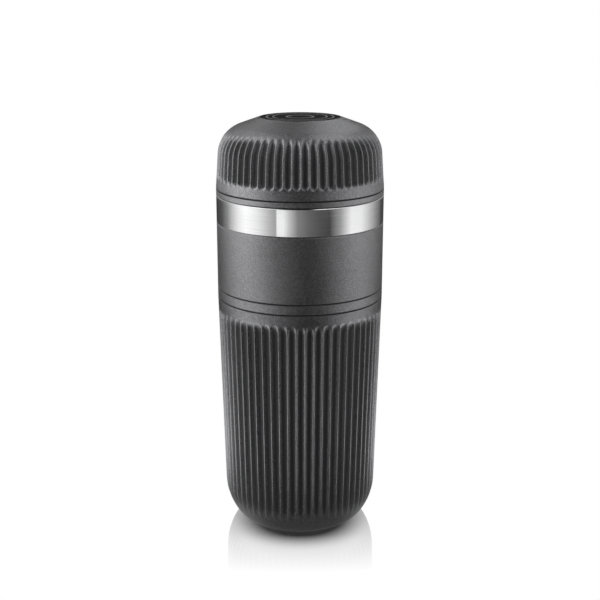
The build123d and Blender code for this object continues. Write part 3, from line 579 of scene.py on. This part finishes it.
# Painted shade in the creases at the parting lines.
SEAM_SHADE = seam_shade_group([TANK_Z * MM, low("body_shell") * MM, CAP_Z * MM])
WEAR_AND_HIGHLIGHT = wear_and_highlight_group()
BRUSHED = brushed_group()


# ---- materials ------------------------------------------------------------------

# Painted shade: the colour of flute floors and parting lines, darker where shade falls.
PAINTED_SHADE_COLOUR = (0.045, 0.045, 0.0462, 1)
RING_GREY = (0.7, 0.7, 0.7, 1)
BAND_GREYS = ((0.56, 0.56, 0.565, 1), (0.66, 0.66, 0.665, 1))
STEEL_GREYS = ((0.55, 0.55, 0.545, 1), (0.68, 0.675, 0.67, 1))
RUBBER_BLACKS = ((0.012, 0.012, 0.012, 1), (0.03, 0.03, 0.031, 1))
GLOSS_BLACKS = ((0.008, 0.008, 0.009, 1), (0.016, 0.016, 0.017, 1))
DISC_RINGS = [(12.2, 0.35), (9.8, 0.3), (4.8, 0.5)]    # in millimetres

# Roughness changes between these. Moulded plastic's is counted from its own middle.
BAND_ROUGH, STEEL_ROUGH, GLOSS_ROUGH = (0.07, 0.12), (0.21, 0.34), (0.06, 0.10)
MOULDED_ROUGH = (-0.05, 0.07)
# Painted shade in flute floors and parting lines is rougher by this much.
PAINTED_SHADE_ROUGHER = 0.12
CLOUDS = 0.25                # how far a cloud turns the dark colour pale
# How strongly convex edges turn lighter, as wear and as a painted highlight on ridges.
RUBBING_AND_HIGHLIGHT = 0.2


def place_group(tree, kind, **values):
    """Put a shared effect in a material with its own values."""
    node = tree.nodes.new("ShaderNodeGroup")
    node.node_tree = kind
    for label, value in values.items():
        node.inputs[label.replace("_", " ")].default_value = value
    return node.outputs


def new_material(name, **values):
    """Material with its Principled shader. Returns material, tree and shader node."""
    material = bpy.data.materials.new(name)
    material.use_nodes = True
    tree = material.node_tree
    shader = tree.nodes["Principled BSDF"]
    for label, value in values.items():
        shader.inputs[label.replace("_", " ")].default_value = value
    return material, tree, shader


def feed(tree, shader, **outputs):
    """Link outputs to the shader's sockets of those names."""
    for label, output in outputs.items():
        tree.links.new(output, shader.inputs[label.replace("_", " ")])


def bump(tree, shader, height, strength, distance):
    """Bump from a height, into the shader's normal."""
    node = tree.nodes.new("ShaderNodeBump")
    node.inputs["Strength"].default_value = strength
    node.inputs["Distance"].default_value = distance
    tree.links.new(height, node.inputs["Height"])
    tree.links.new(node.outputs[0], shader.inputs["Normal"])


def moulded(name, dark, pale, rubbed_and_lit, roughness, specular, grain_scale, sheen=0.0):
    """Satin moulded plastic: grain, slow variation, convex edges lightened as wear and as a
    painted highlight, and painted shade in flute floors and parting lines.

    sheen is how far its coating shines like a metal."""
    material, tree, shader = new_material(name, Specular_IOR_Level=specular)
    grain = place_group(tree, GRAIN, Scale=grain_scale)
    worn_and_lit = place_group(tree, WEAR_AND_HIGHLIGHT, Amount=RUBBING_AND_HIGHLIGHT)
    seam_shade_mask = place_group(tree, SEAM_SHADE)
    # Painted shade: flute floors and parting lines turn darker, rougher and not metallic.
    painted_shade = math(tree, "MAXIMUM", corner_value(tree, "painted_shade"), seam_shade_mask["Mask"])
    body = mix(tree, grain["Speckle"], dark, pale)
    body = mix(tree, spread(tree, grain["Cloud"], *NOISE, 0.0, CLOUDS), body, pale)
    # Convex edges turn lighter: wear, and a painted highlight on ridges.
    body = mix(tree, worn_and_lit["Mask"], body, rubbed_and_lit)
    rough = spread(tree, grain["Speckle"], 0.0, 1.0, *(roughness + by for by in MOULDED_ROUGH))
    feed(tree, shader, Base_Color=mix(tree, painted_shade, body, PAINTED_SHADE_COLOUR),
         Metallic=spread(tree, painted_shade, 0.0, 1.0, sheen, 0.0),
         Roughness=math(tree, "ADD", rough, math(tree, "MULTIPLY", painted_shade, PAINTED_SHADE_ROUGHER)))
    bump(tree, shader, grain["Height"], strength=0.6, distance=0.0002)
    return material


def band_steel():
    """Stainless band, brushed round."""
    material, tree, shader = new_material("brushed_band_steel", Metallic=1.0, Anisotropic=0.7,
                                          Anisotropic_Rotation=0.25)
    lines = place_group(tree, BRUSHED)
    tangent = tree.nodes.new("ShaderNodeTangent")
    tangent.direction_type = "RADIAL"
    tangent.axis = "Z"
    feed(tree, shader, Tangent=tangent.outputs[0],
         Base_Color=mix(tree, lines["Streak"], *BAND_GREYS),
         Roughness=spread(tree, lines["Streak"], 0.0, 1.0, *BAND_ROUGH))
    bump(tree, shader, lines["Height"], strength=0.06, distance=0.00002)
    return material


def plain_steel():
    """Turned or pressed stainless steel of the inner parts."""
    material, tree, shader = new_material("inner_steel", Metallic=1.0)
    grain = place_group(tree, GRAIN, Scale=1500.0)
    feed(tree, shader, Base_Color=mix(tree, grain["Speckle"], *STEEL_GREYS),
         Roughness=spread(tree, grain["Cloud"], *NOISE, *STEEL_ROUGH))
    bump(tree, shader, grain["Height"], strength=0.05, distance=0.00004)
    return material


def rubber():
    """Soft black seal rubber."""
    material, tree, shader = new_material("seal_rubber", Roughness=0.6)
    grain = place_group(tree, GRAIN, Scale=1800.0)
    feed(tree, shader, Base_Color=mix(tree, grain["Cloud"], *RUBBER_BLACKS))
    bump(tree, shader, grain["Height"], strength=0.12, distance=0.00006)
    return material


def black_gloss(name, rings):
    """Polished black with thin printed grey rings, given as (radius, half width) in mm."""
    material, tree, shader = new_material(name, Coat_Weight=0.5, Coat_Roughness=0.03)
    grain = place_group(tree, GRAIN, Scale=700.0)
    colour = mix(tree, grain["Cloud"], *GLOSS_BLACKS)
    parts = xyz(tree, object_place(tree))
    from_axis = hypotenuse(tree, parts[0], parts[1])
    for radius, half_width in rings:
        printed = near(tree, from_axis, radius * MM, half_width * MM)
        colour = mix(tree, printed, colour, RING_GREY)
    feed(tree, shader, Base_Color=colour,
         Roughness=spread(tree, grain["Speckle"], 0.0, 1.0, *GLOSS_ROUGH))
    return material


SHELL = moulded("shell_satin_plastic", dark=(0.128, 0.128, 0.132, 1),
                pale=(0.278, 0.278, 0.287, 1), rubbed_and_lit=(0.32, 0.32, 0.32, 1),
                roughness=0.33, specular=0.25, grain_scale=2600.0, sheen=0.93)
INNER = moulded("inner_black_plastic", dark=(0.020, 0.020, 0.0205, 1),
                pale=(0.034, 0.034, 0.0345, 1), rubbed_and_lit=(0.06, 0.06, 0.06, 1),
                roughness=0.5, specular=0.6, grain_scale=1600.0)
FINISH = {"shell_plastic": SHELL, "black_gloss": black_gloss("black_gloss_disc", DISC_RINGS),
          "band_steel": band_steel(), "inner_plastic": INNER, "metal": plain_steel(),
          "rubber": rubber()}
KNOB_FACE = black_gloss("black_gloss_face", [])


# ---- pieces ---------------------------------------------------------------------

def node_slot(node):
    """Material slot that the record gives a node."""
    return next(part["material_slot"] for part in frame["record"]["subparts"]
                if part["node"] == node)


def node_body(node):
    """Body that a node rides on."""
    bodies = frame["record"]["behaviour"]["bodies"]
    return next(body for body, members in bodies.items() if node in members)


def stand_for(piece, node):
    """A finished piece takes a CAD node's place and body."""
    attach(piece, node_body(node))
    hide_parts(node)


def smooth_copy(node, finish, sharp):
    """Welded, smoothly shaded copy of a CAD node with its finish."""
    data = frame["nodes"][node].data.copy()
    mesh = bmesh.new()
    mesh.from_mesh(data)
    bmesh.ops.remove_doubles(mesh, verts=mesh.verts, dist=SAME_CORNER)
    mesh.to_mesh(data)
    mesh.free()
    piece = as_piece(node + "_finished", data, finish, sharp)
    stand_for(piece, node)
    return piece


def cap_piece(tree):
    """Fluted cap: from under the disc over the shoulder, round the mouth and up inside."""
    outside, centre = cap_outside()
    tip = centre[1] + SHOULDER_R * sin(radians(CAP_FLUTE_ANGLE))
    ends = ((distance_at(outside, tip), *CAP_TIP_END),
            (distance_at(outside, CAP_Z + CAP_FLUTE_FOOT), *CAP_FOOT_END))
    rows = plain([(DISC_R, DISC_Z)]) + outside + plain(cap_inside(centre))
    wedge = fluted_wedge("cap", rows, CAP_FLUTES, ends, (rows[0][1], rows[-1][1]))
    piece = all_round("fluted_cap", wedge, tree, CAP_FLUTES, CAP_PHASE, SHELL)
    stand_for(piece, "cap_shell")


def tank_piece(tree):
    """Fluted tank: the hollow from its floor's middle up, over the rim and down outside."""
    outside = tank_outside()
    ends = ((distance_at(outside, TANK_FLUTE_TOP), *TANK_TOP_END),
            (distance_at(outside, TANK_FLUTE_FOOT), *TANK_FOOT_END))
    rows = plain(tank_inside()) + outside
    wedge = fluted_wedge("tank", rows, TANK_FLUTES, ends, (rows[0][1], rows[-1][1]))
    piece = all_round("fluted_tank", wedge, tree, TANK_FLUTES, TANK_PHASE, SHELL)
    stand_for(piece, "tank_shell")


def shorten_spring(piece):
    """Give a valve spring its own copy of its mesh."""
    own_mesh(piece)


wheel = wheel_tree()
cap_piece(wheel)
tank_piece(wheel)
for name in sorted(frame["nodes"]):
    if name in ("cap_shell", "tank_shell"):
        continue
    finish = KNOB_FACE if name == "knob_inlay" else FINISH[node_slot(name)]
    piece = smooth_copy(name, finish, DISC_SHARP if name == "cap_disc" else COPY_SHARP)
    if name in VALVE_SPRINGS:
        shorten_spring(piece)


# ---- stage: world and floor -------------------------------------------------------

# The floor mirrors the object within two rounds, each (full up to, gone at, strength):
# a faint one that reaches further to the sides, and a strong one at the foot, whose middle
# is a little in front of the axis and, behind the object, a little behind it. The strong one
# is a painted contact shadow: it darkens the floor round the foot by mirroring the dark object.
FAINT_MIRROR = (0.0241, 0.0515, 0.37)
FAINT_STRETCH = 2.0
FOOT_SHADE_MIRROR = (0.0145, 0.0305, 0.72)
FOOT_SHIFT = 0.006
MIRROR_ROUGH = 0.02
FLOOR_R = 9.0
FLOOR_GREY = (0.15, 0.15, 0.15, 1)
WORLD_GREY = (0.45, 0.45, 0.455, 1)
WHITE, BLACK = (1, 1, 1, 1), (0, 0, 0, 1)


def only_for(tree, rays):
    """1 for these kinds of ray."""
    path = tree.nodes.new("ShaderNodeLightPath")
    total = path.outputs[rays[0]]
    for label in rays[1:]:
        total = math(tree, "MAXIMUM", total, path.outputs[label])
    return total


def world():
    """White for what looks at the background, soft grey for what lights the object."""
    made = bpy.data.worlds.new("studio")
    bpy.context.scene.world = made
    made.use_nodes = True
    tree = made.node_tree
    shown = only_for(tree, ["Is Camera Ray", "Is Glossy Ray", "Is Transmission Ray"])
    feed(tree, tree.nodes["Background"], Color=mix(tree, shown, WORLD_GREY, WHITE))


def mirror_strength(tree):
    """How strongly the floor mirrors at each place."""
    parts = xyz(tree, object_place(tree))
    across, along = parts[0], math(tree, "ABSOLUTE", parts[1])
    faint = hypotenuse(tree, math(tree, "MULTIPLY", across, 1 / FAINT_STRETCH), along)
    # Distance from the middle of the foot's round, for the painted contact shadow.
    foot = hypotenuse(tree, across, math(tree, "SUBTRACT", along, FOOT_SHIFT))
    return math(tree, "ADD", spread(tree, faint, *FAINT_MIRROR, 0.0),
                spread(tree, foot, *FOOT_SHADE_MIRROR, 0.0, "SMOOTHSTEP"))


def floor():
    """White floor that mirrors only what stands close to the object."""
    mesh = bmesh.new()
    bmesh.ops.create_circle(mesh, cap_ends=True, radius=FLOOR_R, segments=96)
    piece = in_scene("floor", mesh_data("floor", mesh))
    material, tree, shader = new_material("white_floor", Roughness=0.9, Specular_IOR_Level=0.0,
                                          Emission_Color=WHITE)
    seen = only_for(tree, ["Is Camera Ray"])
    feed(tree, shader, Base_Color=mix(tree, seen, FLOOR_GREY, BLACK), Emission_Strength=seen)
    gloss = tree.nodes.new("ShaderNodeBsdfGlossy")
    gloss.inputs["Color"].default_value = WHITE
    gloss.inputs["Roughness"].default_value = MIRROR_ROUGH
    blend = tree.nodes.new("ShaderNodeMixShader")
    tree.links.new(math(tree, "MULTIPLY", mirror_strength(tree), seen), blend.inputs[0])
    tree.links.new(shader.outputs[0], blend.inputs[1])
    tree.links.new(gloss.outputs[0], blend.inputs[2])
    feed(tree, tree.nodes["Material Output"], Surface=blend.outputs[0])
    piece.data.materials.append(material)
    piece.visible_glossy = False


# ---- stage: lamps and panels ------------------------------------------------------

SOFTBOX_AWAY = 0.32
SOFTBOX_FOOT = 0.02
SOFTBOX_SIDE = 0.34
LEFT_SOFTBOX, RIGHT_SOFTBOX = (-78, 1.6), (88, 1.3)    # (bearing, brightness)

# The panels lie just under the floor out to the ring, rise in a skirt, and stand in the
# ring. A place on them is (radius, height).
UNDER = -0.001
MIDDLE, FOOT_END, FLOOR_END = (0.001, UNDER), (0.07, UNDER), (0.18, UNDER)
RING_R = 0.25
SKIRT_TOP, LOW_TOP, BAND_TOP = (RING_R, 0.032), (RING_R, 0.062), (RING_R, 0.09)
BACK_TOP, STRIP_TOP, RING_TOP = (RING_R, 0.255), (RING_R, 0.27), (RING_R, 0.54)
UPPER_FOOT, UPPER_TOP = (0.24, 0.27), (0.24, 0.54)
PANEL_STEP = 4               # a panel's quads cover about this many degrees each
OVERHEAD_Z = 0.55
OVERHEAD_Y = (-0.3, 1.0)
ON_FLOOR = 0.00003           # a ray that starts lower than this starts on the floor
STEEL_SKIRT = 3.0            # how much brighter the skirt is to the steel band

# Brightness at bearings in degrees: 0 is at the front, positive to the right.
LOW = [(-180, 0.05), (-150, 0.06), (-127, 0.14), (-111, 0.50), (-97, 1.22), (-75, 1.98),
       (-56, 1.46), (-38, 0.46), (-20, 0.12), (-3, 0.04), (11, 0.04), (38, 0.08),
       (53, 0.55), (69, 1.50), (86, 1.58), (106, 0.88), (121, 0.42), (140, 0.12), (180, 0.05)]
FOOT = [(bearing, 0.15 + 0.15 * level) for bearing, level in LOW]
UNDERFOOT = [(bearing, 0.01 + 1.65 * level) for bearing, level in LOW]
SKIRT = [(-180, 0.03), (-127, 0.07), (-111, 0.24), (-97, 0.57), (-75, 0.62), (-56, 0.38),
         (-38, 0.14), (-20, 0.06), (-3, 0.02), (11, 0.02), (38, 0.04), (53, 0.14), (69, 0.38),
         (86, 0.64), (106, 0.40), (121, 0.19), (140, 0.06), (180, 0.03)]
BAND_ROUND = [(-180, 0.05), (-149, 0.06), (-127, 0.12), (-111, 0.35), (-97, 0.88), (-86, 1.30),
              (-75, 1.54), (-66, 1.45), (-56, 1.28), (-38, 0.76), (-30, 0.60), (-29.5, 1.55),
              (-21, 1.55), (-13, 0.92), (-3, 0.38), (11, 0.22), (24, 0.14), (38, 0.08), (53, 0.50),
              (69, 1.37), (86, 1.33), (106, 0.72), (121, 0.37), (140, 0.08), (180, 0.05)]
HIGH = [(-158, 0.30), (-127, 0.65), (-98, 2.00), (-75, 2.70), (-56, 1.40), (-38, 0.30),
        (-31, 0.05), (-3, 0.02), (11, 0.03), (25, 0.15), (45, 0.70), (69, 1.00),
        (98, 1.15), (127, 0.65), (158, 0.30)]
DARK_BACK = [(158, 0.03), (202, 0.03)]
BACK_STRIP = [(158, 1.3), (202, 1.3)]
UP_BACK = [(150, 0.50), (162, 1.90), (168, 1.60), (170, 0.0), (195, 0.0), (197, 0.95),
           (205, 0.90), (225, 0.70)]
# Brightness of the ceiling from left to right: (x, brightness).
OVERHEAD = [(-0.6, 1.0), (-0.18, 1.8), (-0.11, 0.0), (0.07, 0.0), (0.12, 2.2), (0.25, 1.6),
            (0.6, 1.0)]


def softbox(name, bearing, radiance):
    """Upright area lamp facing the axis. Reflections see the panels instead."""
    lamp = bpy.data.lights.new(name, "AREA")
    lamp.size = SOFTBOX_SIDE
    lamp.energy = radiance * pi * SOFTBOX_SIDE ** 2
    piece = in_scene(name, lamp)
    a = radians(bearing)
    height = SOFTBOX_FOOT + SOFTBOX_SIDE / 2
    piece.location = (SOFTBOX_AWAY * sin(a), -SOFTBOX_AWAY * cos(a), height)
    piece.rotation_euler = (Vector((0, 0, height)) - piece.location).to_track_quat(
        "-Z", "Y").to_euler()
    piece.visible_glossy = False


def only_reflected(name, mesh, shades, for_steel=1.0):
    """Glowing piece of the studio, with a brightness at each corner, that only
    reflections see. Rays that start on the floor see it white, and rays that start on
    the steel band or above see it brighter by the factor for_steel."""
    piece = in_scene(name, mesh_data(name, mesh))
    set_corners(piece.data, "brightness", shades)
    material = bpy.data.materials.new(name)
    material.use_nodes = True
    tree = material.node_tree
    tree.nodes.remove(tree.nodes["Principled BSDF"])
    glow = tree.nodes.new("ShaderNodeEmission")
    here = tree.nodes.new("ShaderNodeNewGeometry")
    path = tree.nodes.new("ShaderNodeLightPath")
    start = math(tree, "MULTIPLY_ADD", xyz(tree, here.outputs["Incoming"])[2],
                 path.outputs["Ray Length"], xyz(tree, here.outputs["Position"])[2])
    from_floor = math(tree, "LESS_THAN", start, ON_FLOOR)
    from_steel = math(tree, "GREATER_THAN", start, low("adapter_band") * MM)
    level = math(tree, "MULTIPLY", corner_value(tree, "brightness"),
                 spread(tree, from_steel, 0.0, 1.0, 1.0, for_steel))
    feed(tree, glow, Strength=math(tree, "MAXIMUM", level, from_floor))
    feed(tree, tree.nodes["Material Output"], Surface=glow.outputs[0])
    piece.data.materials.append(material)
    piece.visible_camera = False
    piece.visible_diffuse = False
    piece.visible_shadow = False
    piece.visible_transmission = False


def strip(mesh, shades, places, levels):
    """Row of quads between pairs of places, with the brightness of each pair."""
    pairs = [(mesh.verts.new(p), mesh.verts.new(q)) for p, q in places]
    for level in levels:
        shades += [level, level]
    for (a, b), (c, d) in zip(pairs, pairs[1:]):
        mesh.faces.new((a, c, d, b))


def panels_round(name, levels, inner, outer, for_steel=1.0):
    """Curved panels between two circles, with a brightness at each bearing."""
    mesh, shades = bmesh.new(), []
    for (first, at_first), (last, at_last) in zip(levels, levels[1:]):
        steps = max(2, round((last - first) / PANEL_STEP))
        ways = [i / steps for i in range(steps + 1)]
        places = []
        for t in ways:
            a = radians(first + (last - first) * t)
            places.append([(r * sin(a), -r * cos(a), z) for r, z in (inner, outer)])
        strip(mesh, shades, places, [at_first + (at_last - at_first) * t for t in ways])
    only_reflected(name, mesh, shades, for_steel)


def panel_overhead():
    """Ceiling whose brightness changes from left to right."""
    mesh, shades = bmesh.new(), []
    strip(mesh, shades, [[(x, y, OVERHEAD_Z) for y in OVERHEAD_Y] for x, level in OVERHEAD],
          [level for x, level in OVERHEAD])
    only_reflected("overhead_panel", mesh, shades)


# ---- camera -----------------------------------------------------------------------

CAMERA_AT = (0, -0.400, 0.20103)
CAMERA_TILT = 74.04          # degrees up from straight down
CAMERA_LENS = 65.55          # millimetres, on a sensor 36 mm wide
CAMERA_SENSOR = 36.0
CAMERA_NEAR = 0.01


def camera():
    """Camera at the front, a little above, looking down at the object."""
    lens = bpy.data.cameras.new("camera")
    lens.sensor_width = CAMERA_SENSOR
    lens.lens = CAMERA_LENS
    lens.clip_start = CAMERA_NEAR
    made = in_scene("camera", lens)
    made.location = CAMERA_AT
    made.rotation_euler = (radians(CAMERA_TILT), 0, 0)
    bpy.context.scene.camera = made


world()
floor()
softbox("left_softbox", *LEFT_SOFTBOX)
softbox("right_softbox", *RIGHT_SOFTBOX)
panels_round("foot_panels", FOOT, MIDDLE, FOOT_END)
panels_round("floor_panels", UNDERFOOT, FOOT_END, FLOOR_END)
panels_round("skirt_panels", SKIRT, FLOOR_END, SKIRT_TOP, STEEL_SKIRT)
panels_round("low_panels", LOW, SKIRT_TOP, LOW_TOP)
panels_round("band_panels", BAND_ROUND, LOW_TOP, BAND_TOP)
panels_round("high_panels", HIGH, BAND_TOP, RING_TOP)
panels_round("dark_back", DARK_BACK, BAND_TOP, BACK_TOP)
panels_round("back_strip", BACK_STRIP, BACK_TOP, STRIP_TOP)
panels_round("upper_back", UP_BACK, UPPER_FOOT, UPPER_TOP)
panel_overhead()
camera()
bpy.context.scene.view_settings.view_transform = "Standard"
